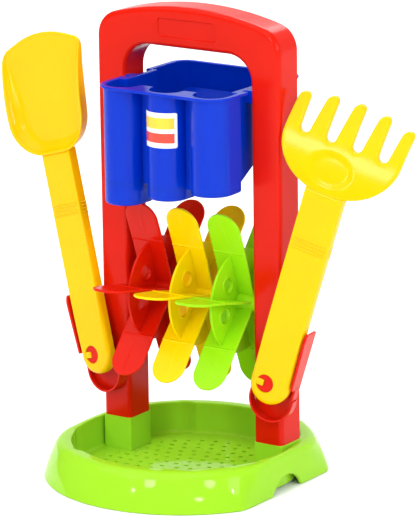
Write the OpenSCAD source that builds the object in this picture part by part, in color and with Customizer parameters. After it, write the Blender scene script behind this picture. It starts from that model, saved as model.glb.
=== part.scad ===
// Sand wheel toy: a round tray, an arched frame that stands in it, a sand hopper
// held in the frame, three paddle wheels keyed on one axle below the hopper's
// spouts, and a shovel and a rake that hang on the frame's legs.
// The origin is the middle of the tray's underside, on the ground. +Z is up,
// the front looks along -Y, and the frame's two legs stand along X.

/* [Tray] */
// Height of the tray's rim
tray_h = 30; // [27:0.5:36]
// Radius of the tray at its foot
foot_r = 113; // [112:0.5:120]
// Width at the foot between the tray's two flat sides
foot_w = 192; // [190:1:204]
// Radius of the tray at its rim
rim_r = 101; // [99:0.5:104]
// Width at the rim between the two flat sides
rim_w = 187; // [184:1:189]
// Radius that rounds the rim over into the side
rim_round = 6; // [4:0.5:7]
// Thickness of the tray's walls
tray_wall = 2.5; // [2:0.1:3]
// Front to back size of the eight-sided basin
basin_l = 155; // [145:1:156]
// Height of the basin's floor above the ground
floor_z = 4.5; // [3.5:0.25:6]
// Thickness of the basin's floor
floor_t = 2; // [1.5:0.1:2.5]
// Diameter of the floor's drain holes
drain_d = 4; // [3:0.25:5]
// Distance between the rings of drain holes
drain_ring = 9.6; // [9:0.2:12]
// Distance between neighbouring holes along a ring
drain_step = 11; // [10:0.5:14]
// Width of the finger arch under each flat side
arch_w = 45; // [35:1:52]
// Height of the finger arch
arch_h = 13; // [10:0.5:16]

/* [Frame] */
// Width over the two legs
frame_w = 171; // [168:0.5:171]
// Width of a leg, seen from the front
leg_w = 26; // [24:0.5:28]
// Front to back size of the frame
frame_l = 26.4; // [24:0.2:28]
// Height of the top of the arch
frame_h = 372; // [366:1:384]
// Radius of the arched top edge
arch_r = 270; // [240:5:320]
// Radius of the frame's shoulders
shoulder_r = 20; // [14:1:24]
// Height of the carrying grip in its middle
grip_h = 32.5; // [28:0.5:38]
// Radius of the opening's corners under the grip
grip_corner_r = 22; // [14:1:26]
// Distance from the tray's middle back to the frame's middle plane
frame_back = 21; // [18:0.5:23]
// Thickness of the frame's walls
frame_wall = 2.5; // [2.2:0.1:2.8]
// Thickness of the ribs inside the frame
rib_t = 1.8; // [1.4:0.1:2.4]
// Distance between the ribs
rib_step = 38; // [30:1:46]
// Width of the recessed plate in the grip
plate_w = 54; // [40:1:64]
// Height of the recessed plate
plate_h = 14.3; // [10:0.5:16]
// Depth of the recessed plate
plate_deep = 1; // [0.6:0.1:1.4]

/* [Leg joints] */
// Height of the tray's posts above the rim
post_rise = 2; // [1:0.5:4]
// Wall of a post round the socket for the leg
post_wall = 3; // [2.5:0.1:3.5]
// Depth that a leg's plug goes into its post
plug_deep = 18; // [12:1:20]
// Height of the closed block at the bottom of a leg
ankle_h = 35; // [30:1:36]
// How far the block stands out behind the leg
ankle_out = 2.3; // [1.5:0.1:3]
// Gap between parts that push together
fit_gap = 0.2; // [0.1:0.05:0.3]

/* [Axle and wheels] */
// Height of the axle
axle_z = 141; // [138:0.5:144]
// Diameter of the axle's round ends
journal_d = 8; // [7:0.25:9]
// Length of each round end, in its seat
journal_l = 6; // [5:0.25:7]
// Side of the axle's square middle
axle_square = 6.6; // [6:0.1:7]
// Running gap round the axle's ends
running_gap = 0.05; // [0.03:0.01:0.08]
// Radius of a wheel to its paddle tips
wheel_r = 79.5; // [76:0.5:80]
// Distance between neighbouring wheels
wheel_step = 39; // [38:0.25:39.5]
// Number of paddles on a wheel
paddle_count = 6; // [5:1:8]
// Width of a paddle
paddle_w = 30; // [26:0.5:31]
// Thickness of a paddle
paddle_t = 2; // [1.6:0.1:2.4]
// Distance from the axle to the paddle's bend
bend_r = 44; // [40:0.5:48]
// Angle of the paddle's bend
bend_angle = 3; // [1:0.5:6]
// Angle of the first paddle above the level
paddle_angle = 11.7; // [0:0.1:20]
// Radius of a wheel's disc
disc_r = 41.5; // [38:0.5:43]
// Thickness of a wheel's disc
disc_t = 2; // [1.6:0.1:2.6]
// Diameter of a wheel's hub
hub_d = 14; // [13:0.5:18]
// Width of the oval holes in the disc
oval_w = 11; // [8:0.5:12]
// Length of the oval holes
oval_l = 12.5; // [12.5:0.5:16]

/* [Hopper] */
// Height of the hopper's rim
hopper_z = 313; // [310:0.5:316]
// Thickness of the hopper's walls
hopper_wall = 2; // [1.6:0.1:2.4]
// Gap between the hopper and the legs' inner faces
hopper_gap = 2.1; // [1.8:0.1:2.6]
// Distance of the hopper's back wall behind the frame's middle plane
hopper_back = 62; // [56:0.5:66]
// Distance of the flat front wall in front of the frame's middle plane
hopper_front = 39; // [37:0.5:40]
// Radius of the three rounded lobes
lobe_r = 16.4; // [15:0.1:17]
// Front to back size of a spout behind the flat front wall
spout_l = 12.9; // [10:0.1:16]
// How far the lowest spout dips below the wheels' top
spout_dip = 2; // [0:0.25:2]
// Difference in height from one spout to the next
spout_step = 8.5; // [6:0.25:10]
// Diameter of the outlet under each spout
outlet_d = 12; // [8:0.5:14]
// Depth of the back of the hopper below its rim
back_deep = 22; // [18:0.5:28]
// Depth of the grooves for the legs
groove_deep = 6.4; // [6:0.1:8]
// Gap between the legs and the ends of their grooves
groove_gap = 2.8; // [1.5:0.1:3.5]
// How far the grooves start in front of the legs, below the rim
groove_ahead = 9.8; // [6:0.1:11]
// How far the rim stands out
lip_out = 2.4; // [1.5:0.1:3]
// Height of the rim's edge
lip_h = 2.3; // [1.8:0.1:3]
// Radius of the rim's back corners
lip_corner_r = 14; // [8:0.5:16]
// Height of the two hooks that carry the hopper
hook_h = 10; // [8:0.5:12]
// Length of a hook along the leg
hook_l = 8; // [6:0.5:9]
// How far a hook reaches into its leg
hook_reach = 2.4; // [1.5:0.1:2.8]
// Height of the label on the middle lobe
label_h = 27.6; // [20:0.2:32]
// Angle that the label wraps round the lobe
label_wrap = 120; // [80:5:130]
// Thickness of the label
label_t = 0.2; // [0.1:0.05:0.4]

/* [Shovel and rake handles] */
// Width of a handle
handle_w = 32.5; // [30:0.5:34]
// Depth of a handle from its flat front to its edges
handle_deep = 8; // [7:0.1:9]
// Radius of a handle's long front edges
handle_round = 5; // [3:0.25:6.5]
// Length of a handle from its hang hole to the neck
handle_l = 160; // [150:1:168]
// Thickness of the shovel's and the rake's walls
tool_wall = 2.2; // [1.8:0.1:2.6]
// Diameter of the hang hole
hang_d = 14.6; // [12:0.2:16]
// Distance of the hang hole from the handle's middle line
hang_off = 3.4; // [0:0.2:4.5]
// Lean of a hung tool outwards
lean_out = 16.3; // [12:0.1:18]
// Turn of a hung tool outwards
turn_out = 9.5; // [6:0.5:12]
// Lean of a hung tool backwards
lean_back = 2; // [0:0.5:3]
// Height of the pegs on the legs
peg_z = 85.3; // [82:0.5:88]
// Distance of a hung handle's front face in front of the leg
peg_reach = 14.7; // [13:0.1:16]
// Distance of a hung handle's middle line inside the leg's outer side
peg_in = 2.2; // [0:0.2:4]
// Gap round a peg in its hang hole
peg_gap = 0.4; // [0.3:0.1:0.8]

/* [Shovel] */
// Distance from the handle's neck to the blade's heel
heel_off = 2.2; // [1:0.1:4]
// Length of the shovel's blade
blade_l = 98.5; // [90:0.5:108]
// Width of the blade above its rounded heel
heel_w = 88; // [80:1:90]
// Radius of the heel's corners
heel_r = 33; // [24:1:36]
// Width of the blade at its tip
blade_w = 95.5; // [88:0.5:98]
// Radius of the tip's corners
tip_r = 9; // [5:0.5:12]
// How far the middle of the tip stands out over its corners
tip_crest = 8; // [5:0.5:10]
// How much narrower each side of the blade is at its back than at its front
blade_draft = 4.5; // [2:0.25:6]
// Radius of the walls' curved top edge, seen from the side
blade_r = 150; // [130:5:180]
// How far the walls' top edge stands out in front of the handle
blade_rise = 4.3; // [3:0.1:6]

/* [Rake] */
// Width of the rake over its outer tines
rake_w = 99; // [94:0.5:104]
// Number of tines
tine_count = 5; // [4:1:6]
// Width of a tine near its tip
tine_w = 9.5; // [8:0.5:11]
// Width of the rounded bottom of the gap between two tines
gap_w = 8; // [6:0.5:10]
// Distance from the neck to the gaps between the tines
palm_l = 38.5; // [36:0.5:42]
// Length of the free tines, along the tool
tine_l = 32; // [28:0.5:34]
// How much shorter the outer tines are than the middle one
tine_drop = 5; // [2:0.5:7]
// Radius of the rake's curve
rake_r = 132; // [115:1:150]
// Depth of the rake's edge walls
rake_rim = 5; // [3.5:0.25:6]

/* [Hidden] */
$fn = 64;

// Longer than any cut has to be, and the small overrun that frees a cut's face
reach = 400;
over = 1;

// Places along Y and Z that several pieces share
frame_front_y = frame_back - frame_l / 2;
frame_back_y = frame_back + frame_l / 2;
ankle_back_y = frame_back_y + ankle_out;
leg_out_x = frame_w / 2;
leg_in_x = frame_w / 2 - leg_w;
leg_z = tray_h + post_rise;
opening_z = frame_h - grip_h;

// Shares that set the tray's basin from the tray
basin_side_share = 0.4;
basin_front_share = 0.62;
basin_gap = 0.5;
basin_x = leg_out_x + basin_gap;

// The hopper's own places
hopper_x = leg_in_x - hopper_gap;
lobe_step = hopper_x - lobe_r;
web_y = frame_back - hopper_front;
hopper_back_y = frame_back + hopper_back;
spout_low_z = axle_z + wheel_r - spout_dip;
trough_z = spout_low_z + 2 * spout_step;
back_floor_z = hopper_z - back_deep;
lobe_front_y = web_y - lobe_r;
spout_back_y = web_y + spout_l;
groove_x = hopper_x - groove_deep;
groove_front_y = frame_front_y - groove_gap;
groove_back_y = frame_back_y + groove_gap;
hook_share = 0.7;
hook_front_y = frame_front_y + hook_share * frame_wall;
hook_z = hopper_z - hook_h;
notch_rise = 3;

// The window over each seat, from the leg's inner side and above the axle
window_w = 4.9;
window_low = 1.8;
window_high = 5.4;

// The holders' own sizes
cup_r = 17;
cup_low = 13.6;
cup_out = 2.2;
cup_wall = 1.5;
cup_arm = 5;
cup_gap = 0.5;
guard_gap = 1.5;
guard_low = 2;
guard_high = 50;
guard_slope = 6;
guard_over = 1.5;
guard_wall = 2;
peg_short = 1;

// The wheels' key and the tongue in a hang hole
key_gap = 0.1;
tongue_w = 5;
tongue_l = 6;

// A cube that spans from one corner to the opposite one
module span(low, high) {
    translate(low) cube(high - low);
}

// The same thing on both sides of the middle
module both() {
    children();
    mirror([1, 0, 0]) children();
}

// The tray's whole outer form, drawn in by a wall: a round body whose slanted
// side rolls over into the rim, cut by the two flat sides
module tray_form(inset) {
    foot = foot_r - inset;
    r = rim_round - inset;
    cx = rim_r - rim_round;
    cz = tray_h - rim_round;
    turn = acos(r / norm([foot - cx, cz])) - atan2(cz, foot - cx);
    slant = (foot_w - rim_w) / 2 / tray_h;
    side = foot_w / 2 - inset;
    difference() {
        rotate_extrude() {
            polygon([[0, 0], [foot, 0], [cx + r * cos(turn), cz + r * sin(turn)], [cx, cz],
                [cx, cz + r], [0, cz + r]]);
            translate([cx, cz]) circle(r);
        }
        rotate([90, 0, 0]) linear_extrude(reach, center = true)
            both() polygon([[side + slant * over, -over], [reach, -over],
                [reach, tray_h + over], [side - slant * (tray_h + over), tray_h + over]]);
    }
}

// The basin's eight-sided plan, drawn out by a wall
module basin_plan(grow) {
    x = basin_x + grow;
    y = basin_l / 2 + grow;
    side = y * basin_side_share;
    front = x * basin_front_share;
    polygon([[x, -side], [x, side], [front, y], [-front, y], [-x, side], [-x, -side],
        [-front, -y], [front, -y]]);
}

// The drain holes, in rings about the middle
module drains() {
    rings = floor(basin_l / 2 / drain_ring - 1);
    cylinder(d = drain_d, h = tray_h, center = true, $fn = 16);
    for (ring = [1:rings]) {
        count = round(2 * PI * ring * drain_ring / drain_step);
        for (hole = [0:count - 1])
            rotate([0, 0, 90 + hole * 360 / count]) translate([ring * drain_ring, 0, 0])
                cylinder(d = drain_d, h = tray_h, center = true, $fn = 16);
    }
}

// The plan of a leg's foot block, drawn in by a wall
module foot_block(inset, low, high) {
    span([leg_in_x + inset, frame_front_y + inset, low],
        [leg_out_x - inset, ankle_back_y - inset, high]);
}

// The tray before its posts: the outer shell, the basin's wall and its floor
module basin() {
    low = floor_z - floor_t;
    difference() {
        union() {
            difference() {
                tray_form(0);
                translate([0, 0, -over]) tray_form(tray_wall);
            }
            intersection() {
                tray_form(0);
                translate([0, 0, low]) linear_extrude(tray_h) basin_plan(tray_wall);
            }
        }
        translate([0, 0, floor_z]) linear_extrude(reach) basin_plan(0);
        drains();
    }
}

module base_tray() color([0.56, 0.86, 0.1]) {
    difference() {
        union() {
            basin();
            both() foot_block(0, floor_z - floor_t, leg_z);
        }
        // The sockets for the legs' plugs
        both() foot_block(post_wall, leg_z - plug_deep - over, reach);
        // The finger arches under the flat sides
        both() translate([basin_x + tray_wall, 0, arch_h - arch_w / 2]) rotate([0, 90, 0])
            cylinder(d = arch_w, h = reach);
    }
}

// The frame's arched outline in the XZ plane, drawn in by a wall
module arch_outline(inset) {
    centre_z = frame_h - arch_r;
    x = leg_out_x - shoulder_r;
    rise = sqrt(pow(arch_r - shoulder_r, 2) - x * x);
    z = centre_z + rise;
    out = arch_r / (arch_r - shoulder_r);
    difference() {
        union() {
            translate([-leg_out_x + inset, leg_z]) square([frame_w - 2 * inset, z - leg_z]);
            both() translate([x, z]) circle(shoulder_r - inset);
            intersection() {
                translate([0, centre_z]) circle(arch_r - inset, $fn = 256);
                polygon([[-x, z], [x, z], [x * out, centre_z + rise * out],
                    [0, frame_h + arch_r], [-x * out, centre_z + rise * out]]);
            }
        }
        corner_z = opening_z - grip_corner_r;
        corner_x = leg_in_x - grip_corner_r;
        square_x = leg_in_x + inset;
        translate([-square_x, 0]) square([2 * square_x, corner_z]);
        translate([-corner_x, 0]) square([2 * corner_x, opening_z + inset]);
        both() translate([corner_x, corner_z]) circle(grip_corner_r + inset);
    }
}

// A shape drawn in the XZ plane, made solid from one Y to another
module upright(y_from, y_to) {
    translate([0, y_to, 0]) rotate([90, 0, 0]) linear_extrude(y_to - y_from) children();
}

// The ribs across the legs and the grip
module ribs() {
    intersection() {
        upright(frame_front_y + frame_wall, frame_back_y) arch_outline(frame_wall / 2);
        union() {
            for (z = [leg_z + ankle_h + rib_step:rib_step:opening_z - grip_corner_r])
                translate([-reach, 0, z]) cube([2 * reach, reach, rib_t]);
            both() for (x = [rib_step / 4:rib_step / 2:leg_in_x])
                translate([x, 0, opening_z]) cube([rib_t, reach, reach]);
        }
    }
}

// Puts a shape in a hung tool's own frame on the right: X across the handle,
// Y back from its front face, and Z up along it from the peg's height
module hung() {
    translate([leg_out_x - peg_in, frame_front_y - peg_reach, peg_z])
        rotate([-lean_back, lean_out, turn_out]) children();
}

// A holder on the right leg: a cup under the handle's end, a guard along its
// outer edge, and a peg for the hang hole, all on a plate beside the leg
module holder(hole_side) {
    cup_front = handle_deep + cup_gap;
    guard_x = handle_w / 2 + guard_gap;
    guard_out = guard_x + guard_wall;
    intersection() {
        hung() {
            translate([cup_out, 0, -cup_low]) difference() {
                union() {
                    rotate([-90, 0, 0]) translate([0, 0, cup_front])
                        cylinder(r = cup_r + cup_wall, h = reach);
                    span([-cup_r - cup_wall, cup_front, 0],
                        [cup_r + cup_wall, reach, cup_arm]);
                }
                rotate([-90, 0, 0]) translate([0, 0, cup_front - over])
                    cylinder(r = cup_r, h = reach);
                span([-cup_r, cup_front - over, 0], [cup_r, reach, reach]);
            }
            // The guard's side view, whose front edge leans out over the handle
            translate([guard_x, 0, 0]) rotate([90, 0, 90]) linear_extrude(guard_wall)
                polygon([[guard_over, guard_low], [-guard_over, guard_high - guard_slope],
                    [0, guard_high], [reach, guard_high], [reach, guard_low]]);
            span([guard_x, cup_front, -cup_low], [guard_out, reach, guard_low]);
            // The peg, with a slot in its face for the tongue in the hang hole
            difference() {
                rotate([-90, 0, 0]) translate([hole_side * hang_off, 0, peg_short])
                    cylinder(d = hang_d - 2 * peg_gap, h = reach);
                translate([hole_side * (hang_off + hang_d / 2), 0, 0])
                    span([-tongue_l - peg_gap, -over, -tongue_w / 2 - peg_gap],
                        [tongue_l + peg_gap, tool_wall + peg_gap, tongue_w / 2 + peg_gap]);
            }
        }
        span([0, -reach, 0], [reach, frame_front_y + frame_wall, reach]);
    }
    intersection() {
        hung() {
            span([-cup_r, -reach, -cup_low], [guard_out, reach, guard_high - guard_slope]);
            translate([cup_out, 0, -cup_low]) rotate([90, 0, 0])
                cylinder(r = cup_r + cup_wall, h = 2 * reach, center = true);
        }
        span([0, frame_front_y, 0], [reach, frame_front_y + frame_wall, reach]);
    }
}

// The seat for one end of the axle, on the inner wall of the right leg
module seat() {
    half = journal_d / 2 + frame_wall;
    span([leg_in_x, frame_back - half, axle_z - half],
        [leg_in_x + journal_l + over, frame_back_y, axle_z + half]);
}

module seat_cut() {
    snap_share = 0.9;
    slot = journal_d * snap_share;
    translate([leg_in_x - over, frame_back, axle_z]) rotate([0, 90, 0])
        cylinder(d = journal_d + 2 * running_gap, h = journal_l + 2 * over + fit_gap);
    span([leg_in_x - over, frame_back, axle_z - slot / 2],
        [leg_in_x + journal_l + over + fit_gap, reach, axle_z + slot / 2]);
    // The small window in front, where the mould shapes the seat's snap edge
    span([leg_in_x - over, 0, axle_z + window_low],
        [leg_in_x + window_w, frame_front_y + frame_wall + over, axle_z + window_high]);
}

module frame() color([0.88, 0.12, 0.08]) {
    difference() {
        union() {
            difference() {
                upright(frame_front_y, frame_back_y) arch_outline(0);
                upright(frame_front_y + frame_wall, frame_back_y + over)
                    arch_outline(frame_wall);
                // The recess that leaves room for the closed block at the bottom
                both() foot_block(frame_wall, 0, leg_z + ankle_h - frame_wall);
            }
            ribs();
            both() {
                difference() {
                    union() {
                        foot_block(0, leg_z, leg_z + ankle_h);
                        foot_block(post_wall + fit_gap, leg_z - plug_deep, leg_z + over);
                    }
                    foot_block(frame_wall, leg_z + frame_wall, leg_z + ankle_h - frame_wall);
                    foot_block(post_wall + fit_gap + frame_wall, 0, leg_z + over + frame_wall);
                }
                seat();
            }
            holder(-1);
            mirror([1, 0, 0]) holder(1);
        }
        both() {
            seat_cut();
            // The notch that a hopper's hook rests in
            span([0, frame_front_y - over, hook_z],
                [leg_in_x + hook_reach + fit_gap, hook_front_y + hook_l + fit_gap,
                    hopper_z + notch_rise]);
        }
        // The recessed plate in the grip
        translate([0, frame_front_y - over, (opening_z + frame_h - plate_h) / 2 - over])
            span([-plate_w / 2, 0, 0], [plate_w / 2, plate_deep + over, plate_h]);
    }
}

// The plan of one lobe, with a square back, drawn in by a wall
module lobe_plan(place, inset) {
    r = lobe_r - inset;
    back = spout_back_y - inset;
    x = place * lobe_step;
    translate([x, web_y]) circle(r);
    translate([x - r, web_y]) square([2 * r, back - web_y]);
}

// The hopper's solid form, drawn in by a wall and raised at its open top
module hopper_form(inset, rise) {
    run = hopper_back_y - spout_back_y;
    slant = inset * norm([run, back_floor_z - trough_z]) / run;
    difference() {
        union() {
            rotate([90, 0, 90]) linear_extrude(2 * (hopper_x - inset), center = true)
                polygon([[web_y + inset, trough_z + inset], [spout_back_y, trough_z + slant],
                    [hopper_back_y - inset, back_floor_z + slant],
                    [hopper_back_y - inset, hopper_z + rise],
                    [web_y + inset, hopper_z + rise]]);
            for (place = [-1:1]) {
                low = spout_low_z + (place + 1) * spout_step;
                translate([0, 0, low + inset]) linear_extrude(hopper_z - low - inset + rise)
                    lobe_plan(place, inset);
            }
        }
        both() span([groove_x - inset, frame_front_y - groove_ahead - inset, 0],
            [reach, groove_back_y + inset, reach]);
    }
}

// The rim's plan: a rounded rectangle with a notch for each leg, whose front
// corners follow the outer lobes
module rim_plan() {
    x = hopper_x + lip_out;
    front = lobe_front_y - lip_out;
    back = hopper_back_y + lip_out;
    r = lobe_r + lip_out;
    difference() {
        union() {
            translate([-x + r, front]) square([2 * (x - r), r]);
            translate([-x + lip_corner_r, web_y]) square([2 * (x - lip_corner_r), back - web_y]);
            translate([-x, web_y]) square([2 * x, back - web_y - lip_corner_r]);
            both() translate([x - r, web_y]) circle(r);
            both() translate([x - lip_corner_r, back - lip_corner_r]) circle(lip_corner_r);
        }
        both() translate([groove_x + lip_out, groove_front_y])
            square([reach, groove_back_y - groove_front_y]);
    }
}

// A hook on the right side, which rests in the notch of its leg
module hook() {
    span([groove_x - hopper_wall, hook_front_y, hook_z],
        [leg_in_x + hook_reach, hook_front_y + hook_l, hopper_z]);
}

module hopper() color([0.05, 0.15, 0.85]) {
    difference() {
        union() {
            hopper_form(0, 0);
            translate([0, 0, hopper_z - lip_h]) linear_extrude(lip_h) rim_plan();
            both() hook();
        }
        hopper_form(hopper_wall, over);
        for (place = [-1:1]) translate([place * lobe_step, web_y, 0])
            cylinder(d = outlet_d, h = trough_z + lobe_r);
    }
}

module hopper_label() color([0.95, 0.95, 0.95]) {
    label_share = 0.62;
    z = trough_z + (hopper_z - trough_z) * label_share - label_h / 2;
    translate([0, web_y, z]) rotate([0, 0, -90 - label_wrap / 2])
        rotate_extrude(angle = label_wrap)
            translate([lobe_r, 0]) square([label_t, label_h]);
}

module axle() color([0.9, 0.9, 0.88]) {
    middle = leg_in_x - 3 * fit_gap;
    translate([0, frame_back, axle_z]) {
        rotate([0, 90, 0]) cylinder(d = journal_d, h = 2 * (leg_in_x + journal_l), center = true);
        cube([2 * middle, axle_square, axle_square], center = true);
    }
}

// A paddle of a wheel, from the axle outwards along Y: a flat strip that bends a
// little at a ridge and has a round end
module paddle() {
    tip_r = paddle_w / 2;
    ridge = paddle_t / 2;
    difference() {
        rotate([90, 0, 90]) linear_extrude(paddle_w, center = true) {
            translate([0, -paddle_t / 2]) square([bend_r, paddle_t]);
            translate([bend_r, 0]) {
                circle(d = paddle_t + ridge);
                rotate(bend_angle) translate([0, -paddle_t / 2])
                    square([wheel_r - bend_r, paddle_t]);
            }
        }
        translate([0, bend_r, 0]) rotate([bend_angle, 0, 0])
            translate([0, wheel_r - bend_r - tip_r, 0])
                linear_extrude(2 * paddle_t, center = true) difference() {
                    translate([-paddle_w, 0]) square([2 * paddle_w, paddle_w]);
                    circle(tip_r);
                }
    }
}

// One wheel, with its axis along X: a hub that spaces it from the next wheel, a
// disc with oval holes, and paddles
module wheel(place) {
    hub_l = wheel_step - 2 * fit_gap;
    translate([place * wheel_step, frame_back, axle_z]) difference() {
        union() {
            rotate([0, 90, 0]) cylinder(d = hub_d, h = hub_l, center = true);
            difference() {
                rotate([0, 90, 0]) cylinder(r = disc_r, h = disc_t, center = true);
                for (n = [1:paddle_count])
                    rotate([(n + 0.5) * 360 / paddle_count - paddle_angle, 0, 0]) oval();
            }
            for (n = [1:paddle_count])
                rotate([180 - paddle_angle + n * 360 / paddle_count, 0, 0]) paddle();
        }
        // The bore lets the axle's round end through and keys on its square middle
        rotate([0, 90, 0]) cylinder(d = journal_d + key_gap, h = 2 * wheel_step, center = true);
        cube([2 * wheel_step, axle_square + key_gap, axle_square + key_gap], center = true);
    }
}

// One oval hole through a wheel's disc
module oval() {
    middle = (disc_r + hub_d / 2) / 2;
    half = (oval_l - oval_w) / 2;
    translate([0, middle, 0]) rotate([0, 90, 0]) {
        for (end = [-half, half]) translate([0, end, 0])
            cylinder(d = oval_w, h = 2 * disc_t, center = true);
        cube([oval_w, 2 * half, 2 * disc_t], center = true);
    }
}

module wheel_left() color([0.88, 0.12, 0.08]) wheel(-1);
module wheel_middle() color([0.98, 0.85, 0.05]) wheel(0);
module wheel_right() color([0.5, 0.85, 0.1]) wheel(1);

// A handle in its own frame: a channel with rounded front edges, open behind,
// with a round end and the hang hole. A small tongue stands into the hole. Its
// other end runs on by an overlap into the blade or the palm.
module handle(overlap) {
    half = handle_w / 2;
    difference() {
        intersection() {
            translate([0, 0, -half]) linear_extrude(handle_l + half + overlap) difference() {
                channel(0);
                channel(tool_wall);
            }
            upright(-over, handle_deep) {
                circle(half);
                translate([-half, 0]) square([handle_w, handle_l + overlap]);
            }
        }
        difference() {
            translate([-hang_off, 0, 0]) rotate([90, 0, 0])
                cylinder(d = hang_d, h = reach, center = true);
            span([-hang_off - hang_d, -over, -tongue_w / 2],
                [-hang_off - hang_d / 2 + tongue_l, tool_wall + over, tongue_w / 2]);
        }
    }
    // The wall that closes the handle's round end
    difference() {
        rotate([-90, 0, 0]) cylinder(r = half, h = handle_deep);
        rotate([-90, 0, 0]) translate([0, 0, -over]) cylinder(r = half - tool_wall, h = reach);
        span([-reach, -reach, 0], [reach, reach, reach]);
        span([-reach, -reach, -reach], [reach, handle_round, reach]);
    }
}

// A handle's cross-section, drawn in by a wall: flat in front with two rounded edges
module channel(inset) {
    r = handle_round - inset;
    x = handle_w / 2 - handle_round;
    for (side = [-x, x]) translate([side, handle_round]) circle(r);
    translate([-x, inset]) square([2 * x, reach]);
    translate([-x - r, handle_round]) square([2 * (x + r), reach]);
}

// The blade's plan in the handle's plane, drawn in by a wall, and by a draft at
// the heel that gets smaller towards the tip
module blade_plan(inset, draft) {
    tip_share = 0.35;
    heel_x = heel_w / 2 - heel_r;
    heel_z = handle_l + heel_off;
    top_x = blade_w / 2 - tip_r - draft * tip_share;
    crest_r = (top_x * top_x + tip_crest * tip_crest) / 2 / tip_crest;
    hull() {
        both() translate([heel_x, heel_z + heel_r]) circle(heel_r - inset - draft, $fn = 64);
        both() translate([top_x, heel_z + blade_l - tip_crest - tip_r])
            circle(tip_r - inset, $fn = 32);
        translate([0, heel_z + blade_l - crest_r]) intersection() {
            circle(crest_r - inset, $fn = 128);
            translate([tip_r - top_x, crest_r - 2 * tip_crest])
                square([2 * (top_x - tip_r), 2 * tip_crest]);
        }
    }
}

// The blade's form down to its back, drawn in by a wall
module blade_form(inset, back) {
    hull() {
        upright(-blade_rise - tool_wall, -blade_rise) blade_plan(inset, 0);
        upright(back - tool_wall, back) blade_plan(inset, blade_draft);
    }
}

// The shovel: the handle, the blade's flat floor level with the handle's back
// edges, and a wall round it whose curved top edge falls to the floor at the tip
module shovel_body() {
    crown_share = 0.32;
    crown_z = handle_l + heel_off + blade_l * crown_share;
    floor_y = handle_deep - tool_wall;
    handle(heel_off + tool_wall);
    difference() {
        intersection() {
            blade_form(0, handle_deep);
            union() {
                span([-reach, floor_y, 0], [reach, reach, reach]);
                rotate([90, 0, 90]) linear_extrude(reach, center = true)
                    translate([blade_r - blade_rise, crown_z]) circle(blade_r, $fn = 256);
            }
        }
        blade_form(tool_wall, floor_y);
    }
}

// The rake's plan, drawn in by a wall: a palm that is half an ellipse, and
// tines that get narrower towards their round ends
module rake_plan(inset) {
    half = rake_w / 2;
    r = tine_w / 2;
    pitch = (rake_w - tine_w) / (tine_count - 1);
    foot = (pitch - gap_w) / 2;
    tine_z = handle_l + palm_l;
    difference() {
        union() {
            translate([0, tine_z]) scale([half - inset, palm_l - inset]) difference() {
                circle(1);
                translate([-over, 0]) square(2 * over);
            }
            translate([inset - half, tine_z]) square([2 * (half - inset), gap_w / 2]);
            for (n = [0:tine_count - 1]) translate([n * pitch - half + r, tine_z]) {
                place = 2 * n / (tine_count - 1) - 1;
                end = tine_l - r - tine_drop * place * place;
                out = foot - inset;
                left = n == 0 ? r - inset : out;
                right = n == tine_count - 1 ? r - inset : out;
                polygon([[-left, 0], [right, 0], [right, gap_w / 2], [r - inset, end],
                    [inset - r, end], [-left, gap_w / 2]]);
                translate([0, end]) circle(r - inset);
            }
        }
        // The rounded bottoms of the gaps between the tines
        for (n = [1:tine_count - 1])
            translate([(n - 0.5) * pitch - half + r, tine_z + gap_w / 2])
                circle(gap_w / 2 + inset);
    }
}

// A slab that follows the rake's curve, from one depth to another below it
module rake_bend(deep, low) {
    rotate([90, 0, 90]) linear_extrude(reach, center = true)
        translate([rake_r, handle_l - palm_l / 4]) intersection() {
            difference() {
                circle(rake_r - deep, $fn = 256);
                circle(rake_r - low, $fn = 256);
            }
            translate([-reach, 0]) square([reach, reach]);
        }
}

module rake_body() {
    handle(tool_wall);
    intersection() {
        upright(-reach, reach) rake_plan(0);
        rake_bend(0, tool_wall);
    }
    intersection() {
        upright(-reach, reach) difference() {
            rake_plan(0);
            rake_plan(tool_wall);
        }
        rake_bend(0, rake_rim);
    }
}

module shovel() color([0.98, 0.85, 0.05]) mirror([1, 0, 0]) hung() mirror([1, 0, 0])
    shovel_body();
module rake() color([0.98, 0.85, 0.05]) hung() rake_body();

base_tray();
frame();
hopper();
hopper_label();
axle();
wheel_left();
wheel_middle();
wheel_right();
shovel();
rake();
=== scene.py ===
from math import acos, atan2, cos, degrees, pi, radians, sin, sqrt

import bmesh
import bpy
import numpy as np
from mathutils import Matrix, Vector
from mathutils.geometry import convex_hull_2d, delaunay_2d_cdt


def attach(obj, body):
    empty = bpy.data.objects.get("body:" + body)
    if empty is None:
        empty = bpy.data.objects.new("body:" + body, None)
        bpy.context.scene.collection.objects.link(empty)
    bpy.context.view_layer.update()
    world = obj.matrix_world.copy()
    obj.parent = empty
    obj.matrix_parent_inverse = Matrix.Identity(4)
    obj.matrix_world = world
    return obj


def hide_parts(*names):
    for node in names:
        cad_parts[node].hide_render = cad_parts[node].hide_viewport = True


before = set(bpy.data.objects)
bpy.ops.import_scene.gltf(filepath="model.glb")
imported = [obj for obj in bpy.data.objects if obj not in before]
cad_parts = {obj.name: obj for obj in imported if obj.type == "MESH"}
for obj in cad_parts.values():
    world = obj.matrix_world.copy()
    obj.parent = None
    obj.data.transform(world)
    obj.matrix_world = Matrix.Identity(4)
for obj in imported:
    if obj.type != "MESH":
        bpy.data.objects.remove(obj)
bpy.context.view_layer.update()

# Base tray. One green moulding about 2.5 mm thick: a round skirt with two flat sides rolls
# over into the rim and down into an eight-sided basin. The frame's legs plug into two square
# posts on its floor, and drain holes let the water out.

# Lengths here and below are millimetres until a mesh is made. Half the skirt's width over
# its flat sides and the radius of its round sides, at the foot and at the rim:
foot_half, foot_r, rim_half, rim_r = 96, 113, 93.5, 101
rim_top, floor_top, floor_low, tray_wall = 30, 4.5, 2.5, 2.5
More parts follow.
